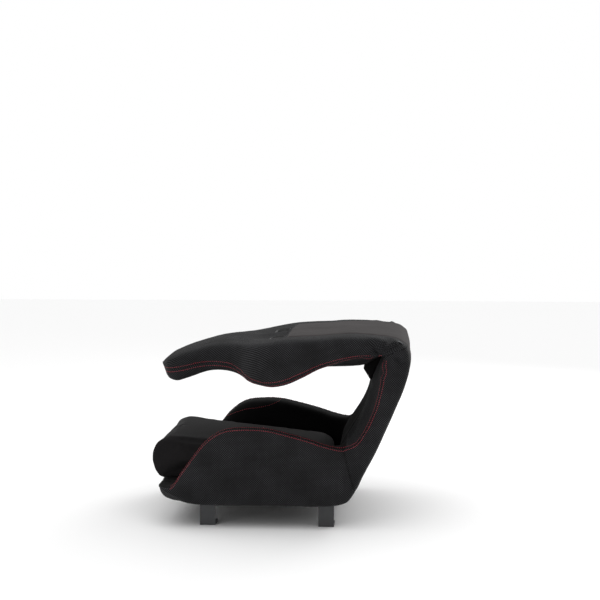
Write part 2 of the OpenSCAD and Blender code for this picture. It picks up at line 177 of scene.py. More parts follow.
def makeSpacerMesh():
    # knitted polyester spacer mesh: staggered rows of small pores that show paler inner yarns
    material, tree, shader = newMaterial("knittedSpacerMesh", 0.8, sheen=0.02, specular=0.15)
    place = addNode(tree, "ShaderNodeTexCoord").outputs["UV"]
    pitch = spacerMesh["pore"] * mm
    scaled = addNode(tree, "ShaderNodeVectorMath", {"operation": "MULTIPLY"},
                     {0: place, 1: (1 / pitch, 1 / pitch, 0.0)}).outputs[0]
    wobble = addNode(tree, "ShaderNodeTexNoise",
                     inputs={"Vector": place, "Scale": 60.0, "Detail": 2.0})
    nudge = addNode(tree, "ShaderNodeVectorMath", {"operation": "SCALE"},
                    {0: wobble.outputs["Color"], "Scale": 0.35}).outputs[0]
    scaled = addNode(tree, "ShaderNodeVectorMath", {"operation": "ADD"},
                     {0: scaled, 1: nudge}).outputs[0]
    pores = []
    for shift in ((0.0, 0.0, 0.0), (0.5, 0.5, 0.0)):
        moved = addNode(tree, "ShaderNodeVectorMath", {"operation": "ADD"},
                        {0: scaled, 1: shift}).outputs[0]
        cell = addNode(tree, "ShaderNodeVectorMath", {"operation": "FRACTION"},
                       {0: moved}).outputs[0]
        flat = addNode(tree, "ShaderNodeVectorMath", {"operation": "MULTIPLY"},
                       {0: cell, 1: (1.0, 1.0, 0.0)}).outputs[0]
        pores.append(addNode(tree, "ShaderNodeVectorMath", {"operation": "DISTANCE"},
                             {0: flat, 1: (0.5, 0.5, 0.0)}).outputs["Value"])
    nearest = addNode(tree, "ShaderNodeMath", {"operation": "MINIMUM"},
                      {0: pores[0], 1: pores[1]}).outputs[0]
    pore = addNode(tree, "ShaderNodeMapRange",
                   inputs={"Value": nearest, "From Min": spacerMesh["dot"] * 0.55,
                           "From Max": spacerMesh["dot"], "To Min": 1.0,
                           "To Max": 0.0}).outputs["Result"]
    patch = addNode(tree, "ShaderNodeTexNoise",
                    inputs={"Vector": place, "Scale": 14.0, "Detail": 3.0})
    uneven = addNode(tree, "ShaderNodeMapRange",
                     inputs={"Value": patch.outputs["Fac"], "From Min": 0.35, "From Max": 0.65,
                             "To Min": 0.55, "To Max": 1.0}).outputs["Result"]
    bright = addNode(tree, "ShaderNodeMath", {"operation": "MULTIPLY"},
                     {0: pore, 1: uneven}).outputs[0]
    ground = addNode(tree, "ShaderNodeValToRGB", inputs={"Fac": patch.outputs["Fac"]},
                     stops=[(0.35, spacerMesh["yarn"]), (0.7, spacerMesh["haze"])]).outputs["Color"]
    colour = addNode(tree, "ShaderNodeMix", {"data_type": "RGBA"},
                     {"Factor": bright, 6: ground, 7: linear(spacerMesh["glint"])}).outputs[2]
    bump = addNode(tree, "ShaderNodeBump", {"invert": True},
                   {"Strength": 0.5, "Distance": 0.6 * mm, "Height": pore})
    wire(tree, shader, colour, bump)
    return material


def makeSuede(name, dark, light, napHeight, sheen, where="Object"):
    # microfibre suede: a short nap that is matt, mottled where it has been stroked
    material, tree, shader = newMaterial(name, 0.92, sheen=sheen, specular=0.12)
    place = addNode(tree, "ShaderNodeTexCoord").outputs[where]
    stroked = addNode(tree, "ShaderNodeTexNoise",
                      inputs={"Vector": place, "Scale": 9.0, "Detail": 5.0,
                              "Roughness": 0.6}).outputs["Fac"]
    # nap of about 1.2 mm, coarser than the real fibres so that it shows
    nap = addNode(tree, "ShaderNodeTexNoise",
                  inputs={"Vector": place, "Scale": 1 / (1.2 * mm), "Detail": 3.0,
                          "Roughness": 0.7}).outputs["Fac"]
    mixed = addNode(tree, "ShaderNodeMix", {"data_type": "FLOAT"},
                    {"Factor": 0.45, 2: stroked, 3: nap}).outputs[0]
    colour = addNode(tree, "ShaderNodeValToRGB", inputs={"Fac": mixed},
                     stops=[(0.35, dark), (0.65, light)])
    bump = addNode(tree, "ShaderNodeBump",
                   inputs={"Strength": 0.6, "Distance": napHeight * mm, "Height": nap})
    wire(tree, shader, colour.outputs["Color"], bump)
    return material


def makeThread():
    # twisted polyester thread, slightly glossy, its ply showing as a fine change of tone
    material, tree, shader = newMaterial("redPolyesterThread", 0.5, sheen=0.2)
    place = addNode(tree, "ShaderNodeTexCoord").outputs["Object"]
    ply = addNode(tree, "ShaderNodeTexNoise",
                  inputs={"Vector": place, "Scale": 900.0, "Detail": 2.0})
    colour = addNode(tree, "ShaderNodeValToRGB", inputs={"Fac": ply.outputs["Fac"]},
                     stops=[(0.35, "#8a0e24"), (0.65, "#c41c38")])
    wire(tree, shader, colour.outputs["Color"])
    return material


def makePowderCoat(name, dark, light, roughness):
    # powder coat on steel: fine orange peel, a little duller where dust has settled
    material, tree, shader = newMaterial(name, roughness, coat=0.15)
    place = addNode(tree, "ShaderNodeTexCoord").outputs["Object"]
    dust = addNode(tree, "ShaderNodeTexNoise",
                   inputs={"Vector": place, "Scale": 25.0, "Detail": 6.0})
    peel = addNode(tree, "ShaderNodeTexNoise",
                   inputs={"Vector": place, "Scale": 1 / (0.8 * mm), "Detail": 2.0})
    colour = addNode(tree, "ShaderNodeValToRGB", inputs={"Fac": dust.outputs["Fac"]},
                     stops=[(0.35, dark), (0.7, light)])
    worn = addNode(tree, "ShaderNodeMapRange",
                   inputs={"Value": dust.outputs["Fac"], "From Min": 0.3, "From Max": 0.7,
                           "To Min": roughness - 0.08, "To Max": roughness + 0.12})
    tree.links.new(worn.outputs["Result"], shader.inputs["Roughness"])
    bump = addNode(tree, "ShaderNodeBump",
                   inputs={"Strength": 0.35, "Distance": 0.2 * mm,
                           "Height": peel.outputs["Fac"]})
    wire(tree, shader, colour.outputs["Color"], bump)
    return material


def makeMetal(name, colour, roughness, grain):
    # plated or sintered metal, with the fine marks that turning and tightening leave
    material, tree, shader = newMaterial(name, roughness, metallic=1.0)
    place = addNode(tree, "ShaderNodeTexCoord").outputs["Object"]
    marks = addNode(tree, "ShaderNodeTexNoise",
                    inputs={"Vector": place, "Scale": 1 / (grain * mm), "Detail": 4.0})
    tone = addNode(tree, "ShaderNodeValToRGB", inputs={"Fac": marks.outputs["Fac"]},
                   stops=[(0.3, colour[0]), (0.7, colour[1])])
    bump = addNode(tree, "ShaderNodeBump",
                   inputs={"Strength": 0.25, "Distance": 0.1 * mm,
                           "Height": marks.outputs["Fac"]})
    wire(tree, shader, tone.outputs["Color"], bump)
    return material


def makeWoven(name, dark, light, threadSize, roughness):
    # woven or non-woven polyester: two crossing thread directions
    material, tree, shader = newMaterial(name, roughness, sheen=0.1, specular=0.3)
    place = addNode(tree, "ShaderNodeTexCoord").outputs["Object"]
    crossed = []
    for way in ("X", "Y"):
        crossed.append(addNode(tree, "ShaderNodeTexWave", {"bands_direction": way},
                               {"Vector": place, "Scale": 0.5 / (threadSize * mm),
                                "Distortion": 0.4}).outputs["Fac"])
    cloth = addNode(tree, "ShaderNodeMath", {"operation": "MULTIPLY"},
                    {0: crossed[0], 1: crossed[1]}).outputs[0]
    colour = addNode(tree, "ShaderNodeValToRGB", inputs={"Fac": cloth},
                     stops=[(0.0, dark), (1.0, light)])
    bump = addNode(tree, "ShaderNodeBump",
                   inputs={"Strength": 0.4, "Distance": 0.3 * mm, "Height": cloth})
    wire(tree, shader, colour.outputs["Color"], bump)
    return material


meshCloth = makeSpacerMesh()
cushionSuede = makeSuede("charcoalSuede", "#121112", "#1e1c1d", 0.25, 0.06)
innerSuede = makeSuede("blackSuede", "#070707", "#0e0d0e", 0.25, 0.02)
padSuede = makeSuede("dullBlackSuede", "#0b0b0b", "#151414", 0.25, 0.02)
panelSuede = makeSuede("warmGreySuede", "#2b2828", "#383434", 0.12, 0.06, "UV")
redThread = makeThread()
frameCoat = makePowderCoat("blackPowderCoat", "#141415", "#1d1d1f", 0.4)
bracketCoat = makePowderCoat("greyPowderCoat", "#2a2b2d", "#38393b", 0.5)
plateZinc = makeMetal("blackZincPlate", ("#2a2b2d", "#3c3d40"), 0.45, 1.0)
brightZinc = makeMetal("brightZincPlate", ("#9a9c9e", "#c2c3c5"), 0.3, 0.8)
bronze = makeMetal("sinteredBronze", ("#8a5e34", "#b07c48"), 0.5, 0.5)
webbing = makeWoven("elasticWebbing", "#101011", "#2c2c2e", 1.5, 0.8)
lining = makeWoven("nonWovenLining", "#0d0d0e", "#191919", 1.0, 0.92)
slotPlastic = makePowderCoat("mouldedPolypropylene", "#121213", "#19191a", 0.5)
print("materials are made")


# Every list runs through the same stations, so point 12 of each lies on one section of the seat.
# "under" is the bottom and then the rear, "edge" where it turns into the side, "seam" the
# top-stitched line, "foot" the inner foot of the bolster and then the middle pad. "half", "innerX",
# "footX" and "wrapX" are distances from the middle. "crest", "roll" and "inner" are how far the
# bolster's top rises past the seam, and "dish" is how far the middle pad is pressed in. "crown" is
# how far the underside has turned towards the edge by "wrapX".
lowerCover = {
    "smoothRows": (13, 26),     # the stations that the smooth panel covers
    "crown": [0.1] * 27,
    "under": [(-250, 80), (-247, 70), (-234, 61), (-212, 55), (-185, 53), (-160, 53), (-130, 53),
              (-95, 53), (-50, 53), (0, 53), (50, 53), (95, 53), (132, 53), (160, 55), (184, 62),
              (201, 86), (214, 112), (234, 150), (250, 182), (264, 213), (279, 248), (293, 282),
              (305, 310), (313, 335), (318, 360), (319.5, 380), (313, 407)],
    "edge": [(-250, 81), (-243, 84), (-229, 80), (-207, 70), (-183, 60), (-160, 55),
             (-130, 53.5), (-95, 53.5), (-50, 53.5), (0, 53.5), (50, 53.5), (95, 53.5),
             (132, 54), (160, 57), (181, 66), (196, 89), (209, 115), (229, 152), (245, 183),
             (259, 214), (274, 248), (288, 281), (300, 309), (308, 334), (313, 359), (315, 378),
             (308, 404)],
    "seam": [(-250, 82), (-243, 87), (-225, 87.5), (-207, 92), (-187, 120), (-163, 152),
             (-129, 193), (-94, 216), (-49, 222), (0, 220.5), (50, 209.5), (95, 197.5),
             (130, 186), (154, 180), (166, 178), (173, 178.5), (181, 181), (192, 185),
             (205, 194), (219, 214), (235, 245), (248, 278), (256, 308), (261, 333), (265, 356),
             (266, 374), (263, 386)],
    "foot": [(-250, 83), (-245, 91), (-229, 95), (-206, 96), (-184, 96), (-160, 96), (-130, 96),
             (-95, 96), (-50, 96), (0, 96), (50, 96), (95, 96), (128, 97), (144, 102),
             (151, 124), (156, 148), (162, 170), (172, 190), (184, 209), (198, 231), (212, 257),
             (221, 281), (227, 306), (232, 325), (242, 345), (254, 363), (261, 374)],
    "half": [165, 206, 231, 241, 245, 246, 246, 246, 246, 246, 246, 246, 246, 245, 244, 243, 243,
             243, 242, 242, 241, 240, 239, 238, 237, 236, 236],
    "crest": [0, 2, 3] + [3.5] * 10 + [4, 6] + [7] * 9 + [6, 5, 3],
    "roll": [0, 1, 2, 1, 0] + [-1] * 8 + [2, 6, 10, 12, 14, 15, 16, 16, 16, 16, 16, 14, 11, 6],
    "inner": [0, 0, 3, 4, -6, -22, -34, -36, -36, -36, -36, -34, -30, -22, -8, 4, 12, 17, 20, 22,
              24, 24, 24, 24, 20, 14, 9],
    "innerX": [112, 150, 176, 182, 183, 184, 184, 184, 184, 184, 184, 184, 184, 182, 178, 174, 172,
               170, 168, 166, 165, 165, 165, 165, 165, 165, 165],
    "footX": [90, 132, 164, 174, 174, 174, 174, 174, 174, 174, 174, 174, 174, 172, 168, 160, 150,
              140, 132, 126, 122, 120, 120, 120, 120, 120, 120],
    "wrapX": [120, 168, 195, 205, 205, 205, 205, 205, 205, 205, 205, 205, 205, 205, 205, 205, 204,
              203, 202, 201, 200, 200, 200, 199, 198, 196, 192],
    "dish": [0] * 14 + [1, 2, 3, 4, 5, 6, 6, 6, 6, 6, 4, 2, 0],
}
upperCover = {
    "smoothRows": (0, 9),
    "crown": [0.1, 0.12, 0.18, 0.28] + [0.4] * 19,
    "under": [(313, 408), (296, 421), (275, 427), (251, 430.5), (225, 433), (195, 434),
              (160, 433), (120, 430), (80, 428), (42, 425.5), (10, 421.5), (-20, 416.5),
              (-45, 413), (-65, 411.5), (-85, 411), (-110, 409.5), (-135, 405), (-160, 397.5),
              (-190, 388.5), (-215, 380), (-235, 371), (-252, 358), (-261, 349)],
    "edge": [(308, 405), (293, 414), (274, 420), (250, 423), (225, 425), (195, 426), (160, 425),
             (120, 421), (80, 418), (42, 415), (10, 410), (-20, 405), (-45, 402), (-64, 401),
             (-85, 401), (-110, 400), (-135, 396), (-160, 390), (-190, 381), (-214, 373),
             (-233, 365), (-249, 353), (-261, 348.5)],
    "seam": [(262, 386.5), (256, 388.5), (246, 388.5), (231, 388), (215, 387.5), (190, 385),
             (160, 379.5), (120, 368), (82, 351), (45, 335.5), (12, 328.5), (-15, 329.5),
             (-40, 336), (-62, 349), (-85, 358.5), (-112, 361.5), (-137, 361.5), (-160, 359),
             (-190, 352), (-214, 347), (-233, 344.5), (-247, 343.5), (-261, 348)],
    "foot": [(257, 377), (249, 370), (238, 362.5), (224, 357.5), (208, 355), (188, 354),
             (160, 353), (120, 352), (82, 351), (45, 350), (10, 350), (-20, 349), (-45, 347),
             (-65, 345), (-85, 343), (-110, 342), (-135, 340), (-160, 335), (-190, 326),
             (-213, 321), (-231, 323), (-247, 333), (-261, 347.5)],
    "half": [236, 236, 236, 237, 239, 243, 249, 255, 259, 259, 255, 243, 217, 184, 162, 151, 147,
             147, 150, 149, 139, 104, 40],
    "crest": [3, 5, 6, 6, 6, 6, 7, 9, 11, 11, 10, 9, 12, 15, 18, 18, 19, 21, 25, 26, 19, 8, 0],
    "roll": [6, 11, 14, 15, 15, 15, 14, 13, 13, 13, 12, 11, 12, 15, 19, 22, 24, 27, 31, 33,
             25, 10, 0],
    "inner": [9, 18, 24, 27, 28, 27, 22, 12, 2, -8, -12, -10, -4, 7, 17, 22, 25, 29, 32, 33,
              25, 10, 0],
    "innerX": [165, 165, 165, 166, 168, 172, 178, 184, 188, 187, 180, 168, 148, 120, 100, 92, 88,
               88, 90, 90, 84, 60, 22],
    "footX": [120, 120, 120, 122, 124, 128, 134, 140, 144, 142, 134, 120, 100, 78, 62, 54, 50, 50,
              50, 50, 46, 34, 14],
    "wrapX": [192, 190, 186, 181, 176, 171, 168, 168, 168, 168, 168, 165, 150, 125, 108, 100, 98,
              98, 100, 100, 94, 70, 26],
    "dish": [0] * 23,
}
# how the side swells between its edges and how the bolster's top rounds over
sectionShape = {"lift": 4.0, "liftShare": 0.12, "swell": 3.0, "swellShare": 0.03, "flank": 22.0,
                "flankShare": 0.12, "wrapGap": 8, "edgeIn": 9, "seamIn": 4}


def sectionKeys(cover, u):
    # eleven places round half a section: 0 under the middle, 5 the seam, 10 the middle pad
    under, edge = between(cover["under"], u), between(cover["edge"], u)
    seam, foot = between(cover["seam"], u), between(cover["foot"], u)
    half = valueAt(cover["half"], u)
    out = seam - edge
    tall = out.length
    out /= tall
    lift = min(sectionShape["lift"], tall * sectionShape["liftShare"])
    swell = min(sectionShape["swell"], tall * sectionShape["swellShare"])
    crest, roll, inner = (seam + out * valueAt(cover[k], u) for k in ("crest", "roll", "inner"))
    flank = min(sectionShape["flank"], half * sectionShape["flankShare"])
    wrap = min(valueAt(cover["wrapX"], u), half - sectionShape["wrapGap"])
    pad = foot + out * -valueAt(cover["dish"], u)
    keys = [(0, under), (wrap, under.lerp(edge, valueAt(cover["crown"], u))),
            (half - sectionShape["edgeIn"], edge),
            (half - 1 + swell * 0.3, edge.lerp(seam, 0.22)),
            (half + swell, edge.lerp(seam, 0.62)),
            (half - sectionShape["seamIn"], seam + out * lift),
            (half - flank * 0.7, crest), (half - flank * 2, roll),
            (valueAt(cover["innerX"], u), inner), (valueAt(cover["footX"], u), foot), (0, pad)]
    return [Vector((x, p.x, p.y)) for x, p in keys]


# places round half a section, with how many steps follow; closer together beside a seam
columnMarks = [(0, 26), (1, 1), (1.12, 5), (2, 6), (3, 10), (4, 7), (4.7, 3), (4.88, 1),
               (4.93, 1), (4.97, 1), (5, 1), (5.12, 1), (5.3, 1), (5.5, 1), (5.75, 1), (6, 5),
               (7, 8), (8, 12), (8.9, 1), (8.96, 1), (9, 1), (9.03, 1), (9.1, 16), (10, 0)]
columns = steps(columnMarks)
coverSizes = {"gauge": 6.0, "seamDepth": 1.9, "seamReach": 3.4, "wall": 2.5, "tuckRadius": 19.0,
              "crease": 50}     # degrees, past which the shading breaks


def rowPlaces(cover, extra):
    out = set(extra)
    for i in range(len(cover["seam"]) - 1):
        far = max((Vector(cover[k][i + 1]) - Vector(cover[k][i])).length
                  for k in ("under", "edge", "seam"))
        count = max(2, round(far / coverSizes["gauge"]))
        out.update(round(i + k / count, 4) for k in range(count))
    out.add(len(cover["seam"]) - 1)
    return sorted(out)


def runLengths(line):
    out = [0.0]
    for a, b in zip(line, line[1:]):
        out.append(out[-1] + (b - a).length)
    return out


def smoothRise(value, low, high):
    t = min(1.0, max(0.0, (value - low) / (high - low)))
    return t * t * (3 - 2 * t)


# the side's pulls run out from the inner corner of the fold, at kinkY and kinkZ
wrinkles = {"kinkY": 263, "kinkZ": 387, "count": 13, "height": 5.4, "reach": 62, "sway": 0.9,
            "swayLength": 55.0, "ripple": 0.35, "rippleLength": 16.0, "pucker": 0.5,
            "puckerReach": 9.0, "puckerPitch": 15.0}
# the cover sinks towards the two harness slots
slotHollow = {"x": 66, "wide": 62, "depth": 13, "from": 42, "above": 393, "halfWidth": 165,
              "fade": 62}


def clothWave(p, place, seamDistance):
    # how far the cloth lies proud of its even shape, in mm: a slow sway, pulls that run from
    # the inner corner of the fold, and the small puckers of a seam
    q = p / mm
    wave = wrinkles["sway"] * noise.noise(Vector((q.x * 0.6, q.y, q.z)) / wrinkles["swayLength"])
    wave += wrinkles["ripple"] * noise.noise(q / wrinkles["rippleLength"])
    away = Vector((q.y - wrinkles["kinkY"], q.z - wrinkles["kinkZ"]))
    far, reach = away.length, wrinkles["reach"]
    side = smoothRise(abs(q.x), 190, 228)
    if far < reach * 2 and side > 0:
        turn = math.atan2(away.y, away.x)
        bend = turn + 0.35 * noise.noise(Vector((far / 26.0, q.x / 80.0, 3.0)))
        pull = math.sin(bend * wrinkles["count"] / 2) \
            + 0.5 * math.sin(bend * wrinkles["count"] * 0.83 + 1.0)
        front = smoothRise(far, 4, 20) * (1 - smoothRise(far, reach * 0.55, reach))
        wave += wrinkles["height"] * 0.6 * pull * front * side
    if q.y < slotHollow["from"] and q.z > slotHollow["above"] \
            and abs(q.x) < slotHollow["halfWidth"]:
        across = math.exp(-((abs(q.x) - slotHollow["x"]) / slotHollow["wide"]) ** 2)
        wave -= slotHollow["depth"] * across * smoothRise(slotHollow["from"] - q.y, 0, 12) \
            * (1 - smoothRise(-q.y, 0, slotHollow["fade"]))
    near = math.exp(-seamDistance / wrinkles["puckerReach"])
    ripple = math.sin(place / wrinkles["puckerPitch"] * 2 * math.pi + 2 * noise.noise(q / 40.0))
    return wave + wrinkles["pucker"] * near * ripple


def coverGrid(cover, rows, mirror, rowSeams, tuckFirst):
    points = []
    for keys in (sectionKeys(cover, u) for u in rows):
        line = [between(keys, v) for v in columns]
        points.append([Vector((p.x * mirror, p.y, p.z)) * mm for p in line])
    n, m = len(points), len(columns)
    normals = []
    for i in range(n):
        line = []
        for j in range(m):
            along = points[min(i + 1, n - 1)][j] - points[max(i - 1, 0)][j]
            across = points[i][min(j + 1, m - 1)] - points[i][max(j - 1, 0)]
            if j == 0 or j == m - 1:
                across = Vector((1 if j == 0 else -1, 0, 0)) * mirror
            normal = along.cross(across) * mirror
            line.append(normal.normalized() if normal.length > 1e-12 else Vector((0, 0, 0)))
        normals.append(line)
    rowRuns = [runLengths(line) for line in points]
    columnRuns = [runLengths([points[i][j] for i in range(n)]) for j in range(m)]
    seamColumns = [columns.index(v) for v in (1, 5, 9)]
    firstSmooth, lastSmooth = cover["smoothRows"]
    shaped = []
    for i in range(n):
        line = []
        for j in range(m):
            sinks, seamDistance = [0.0], 99.0
            for column in seamColumns:
                if columns[column] == 1 and not firstSmooth <= rows[i] <= lastSmooth:
                    continue
                d = abs(rowRuns[i][j] - rowRuns[i][column]) / mm
                deep = coverSizes["seamDepth"] * (0.55 if columns[column] == 5 else 1.0)
                sinks.append(deep * math.exp(-(d / coverSizes["seamReach"]) ** 2))
                if columns[column] == 5:
                    seamDistance = d
            for place, low, high, reach in rowSeams:
                if low <= columns[j] <= high:
                    d = abs(columnRuns[j][i] - columnRuns[j][rows.index(place)]) / mm
                    sinks.append(coverSizes["seamDepth"] * math.exp(-(d / reach) ** 2))
            ends = min(columnRuns[j][i], columnRuns[j][-1] - columnRuns[j][i]) / mm
            wave = clothWave(points[i][j], columnRuns[j][i] / mm, seamDistance)
            wave *= smoothRise(ends, 0, 18)
            wave *= 1 - max(sinks) / coverSizes["seamDepth"]
            line.append(points[i][j] + normals[i][j] * (wave - max(sinks)) * mm)
        shaped.append(line)
    # the cloth is tucked in towards the fold's own axis, where the two halves meet
    hinge = Vector((0, foldY, foldZ)) * mm
    edgeLine = shaped[0 if tuckFirst else -1]
    tucks = []
    for share in (0.3, 0.65, 1.0):
        line = []
        for p in edgeLine:
            toHinge = Vector((0, hinge.y - p.y, hinge.z - p.z))
            reach = max(0.0, toHinge.length - coverSizes["tuckRadius"] * mm)
            line.append(p + toHinge.normalized() * reach * share
                        - Vector((p.x * 0.012 * share, 0, 0)))
        tucks.append(line)
    if tuckFirst:
        shaped, rows = tucks[::-1] + shaped, [-0.01 * k for k in (3, 2, 1)] + list(rows)
    else:
        shaped, rows = shaped + tucks, list(rows) + [rows[-1] + 0.01 * k for k in (1, 2, 3)]
    return {"points": shaped, "rows": rows, "mirror": mirror}


# rows stand closer together beside the seams that cross the cloth
lowerRows = rowPlaces(lowerCover, [14.8, 14.9, 14.96, 15.04, 15.1, 15.2])
upperRows = rowPlaces(upperCover, [8.86, 8.95, 9.05, 9.14])
# each crossing seam is its row, its first and last column and how wide its dip is, in mm
lowerGrids = {side: coverGrid(lowerCover, lowerRows, side, [(15, 2, 5, 2.2)], False)
              for side in (1, -1)}
upperGrids = {side: coverGrid(upperCover, upperRows, side, [(9, 0, 1, 3.4)], True)
              for side in (1, -1)}
print("the cover's surface is laid out", len(lowerRows), len(upperRows), len(columns))


def cut(gridData, u0, u1, v0, v1):
    i0 = min(k for k, u in enumerate(gridData["rows"]) if u >= u0 - 1e-6)
    i1 = max(k for k, u in enumerate(gridData["rows"]) if u <= u1 + 1e-6)
    j0, j1 = columns.index(v0), columns.index(v1)
    return [line[j0:j1 + 1] for line in gridData["points"][i0:i1 + 1]]


def bothSides(grids, u0, u1, v0, v1):
    # one run of cloth from side to side, across the middle
    right, left = cut(grids[1], u0, u1, v0, v1), cut(grids[-1], u0, u1, v0, v1)
    if v0 == 0:
        return [b[:0:-1] + a for a, b in zip(right, left)]
    return [a + b[-2::-1] for a, b in zip(right, left)]


def panelFrom(name, points, material, mirror=1, uvEdge=None, hole=None, closed=False):
    # a flat grid is added, laid out along the sections, and then given the cloth's thickness
    n, m = len(points), len(points[0])
    deselectAll()
    bpy.ops.mesh.primitive_grid_add(x_subdivisions=m - 1, y_subdivisions=n - 1, size=1.0)
    piece = bpy.context.object
    piece.name = name
    mesh = piece.data
    mesh.name = name
    for i in range(n):
        for j in range(m):
            mesh.vertices[i * m + j].co = points[i][j]
    middle = [runLengths([points[i][j] for i in range(n)]) for j in (0, m // 2, m - 1)]
    uvs = []
    for i in range(n):
        run = runLengths(points[i])
        centre = run[m // 2] if points[i][0].x * points[i][-1].x < 0 else 0.0
        along = sum(line[i] for line in middle) / 3
        line = [(run[j] - centre, along) for j in range(m)]
        if uvEdge is not None:
            # a side's cloth is cut flat: its pattern lies on the side and is unrolled at the edge
            edge = points[i][uvEdge]
            up = Vector((points[i][-1].y - edge.y, points[i][-1].z - edge.z))
            up = up.normalized() if up.length > 1e-5 else Vector((0, 1))
            for j in range(m):
                p = points[i][j]
                if j < uvEdge:
                    flat = Vector((edge.y, edge.z)) - up * (run[uvEdge] - run[j])
                    line[j] = (flat.x, flat.y)
                else:
                    line[j] = (p.y, p.z)
        uvs.append(line)
    layer = mesh.uv_layers[0].data
    for loop in mesh.loops:
        i, j = divmod(loop.vertex_index, m)
        layer[loop.index].uv = uvs[i][j]
    if mirror > 0:
        mesh.flip_normals()
    mesh.update()
    if hole:
        lowRow, highRow, lowColumn, highColumn = hole
        editPiece(piece, "DESELECT")
        bpy.ops.object.mode_set(mode="OBJECT")
        for i in range(lowRow, highRow + 1):
            for j in range(lowColumn, highColumn + 1):
                mesh.vertices[i * m + j].select = True
        bpy.ops.object.mode_set(mode="EDIT")
        bpy.ops.mesh.delete(type="VERT")
        bpy.ops.object.mode_set(mode="OBJECT")
    if closed:
        editPiece(piece, "SELECT")
        bpy.ops.mesh.remove_doubles(threshold=0.00002)
        bpy.ops.object.mode_set(mode="OBJECT")
    solid = piece.modifiers.new("wall", "SOLIDIFY")
    solid.thickness = coverSizes["wall"] * mm
    solid.offset = -1
    solid.thickness_clamp = 1.6     # thinner where the rows close up, so that nothing pokes out
    applyModifiers(piece)
    mesh.materials.clear()
    mesh.materials.append(material)
    bpy.ops.object.shade_smooth_by_angle(angle=math.radians(coverSizes["crease"]))
    return piece


def dress(piece, body, nodes=()):
    if body:
        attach(piece, body)
    if nodes:
        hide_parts(*nodes)
    return piece


edgeColumn = columns.index(2) - columns.index(1)
for side, word in ((1, "right"), (-1, "left")):
    name = word.capitalize()
    piece = panelFrom("lowerSide" + name, cut(lowerGrids[side], 0, 26, 1, 5), meshCloth, side,
                      edgeColumn)
    dress(piece, "seat", ["side_cover_" + word, "heel_foam_" + word])
    piece = panelFrom("lowerBolster" + name, cut(lowerGrids[side], 0, 26.03, 5, 9), innerSuede,
                      side)
    dress(piece, "seat",
          ["thigh_bolster_foam_" + word, "lumbar_bolster_foam_" + word])
    piece = panelFrom("upperBolster" + name, cut(upperGrids[side], -0.03, 22, 5, 9), meshCloth,
                      side)
    dress(piece, "backrest", ["shoulder_wing_foam_" + word])
baseLining = panelFrom("baseLining", bothSides(lowerGrids, 0, 13, 0, 1), lining)
dress(baseLining, "seat", ["dust_cover", "base_foam"])
middlePad = panelFrom("lowerMiddlePad", bothSides(lowerGrids, 0, 26.03, 9, 10), innerSuede)
dress(middlePad, "seat", ["lower_front_cover", "lower_back_foam"])
upperPad = panelFrom("upperMiddlePad", bothSides(upperGrids, -0.03, 22, 9, 10), innerSuede)
dress(upperPad, "backrest", ["upper_front_cover", "upper_back_foam", "neck_foam"])
print("bolsters and pads are made")

smoothRun = bothSides(lowerGrids, 13, 26, 0, 1) + bothSides(upperGrids, 0.2, 9, 0, 1)
rearPanel = panelFrom("smoothRearPanel", smoothRun, panelSuede)
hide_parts("lower_rear_cover", "upper_rear_cover", "fold_sleeve", "lower_rear_foam",
            "upper_rear_foam")

holeRows = len([u for u in upperGrids[1]["rows"] if 0 <= u < 9 - 1e-6]) - 1
wide = bothSides(upperGrids, 0, 22, 0, 5)
middleColumn = len(wide[0]) // 2
half = columns.index(1) - 1
upperMesh = panelFrom("upperMeshCover", wide, meshCloth,
                      hole=(0, holeRows, middleColumn - half, middleColumn + half))
dress(upperMesh, "backrest",
      ["shoulder_cover", "upper_side_cover_left", "upper_side_cover_right", "headrest_foam"])
print("side, rear and top covers are made")

# the two slots that a harness passes through are cut right through the covers and lined
slotCut = {"x": 80, "y": 12, "width": 86, "depth": 32, "corner": 15.5, "lip": 4.0,
           "middle": 390, "through": 160}


def slotOutline(side, grow):
    w = slotCut["width"] / 2 - slotCut["corner"]
    d = slotCut["depth"] / 2 - slotCut["corner"]
    out = []
    for cx, cy, start in ((w, d, 0), (-w, d, 90), (-w, -d, 180), (w, -d, 270)):
        for k in range(9):
            a = math.radians(start + k * 11.25)
            r = slotCut["corner"] + grow
            out.append(Vector((side * slotCut["x"] + cx + r * math.cos(a),
                               slotCut["y"] + cy + r * math.sin(a))))
    return out + out[:1]


def heightAt(piece, point, fromAbove):
    start, way = (500, -1) if fromAbove else (300, 1)
    place = piece.ray_cast(Vector((point.x, point.y, start)) * mm, Vector((0, 0, way)))[1]
    return place.z


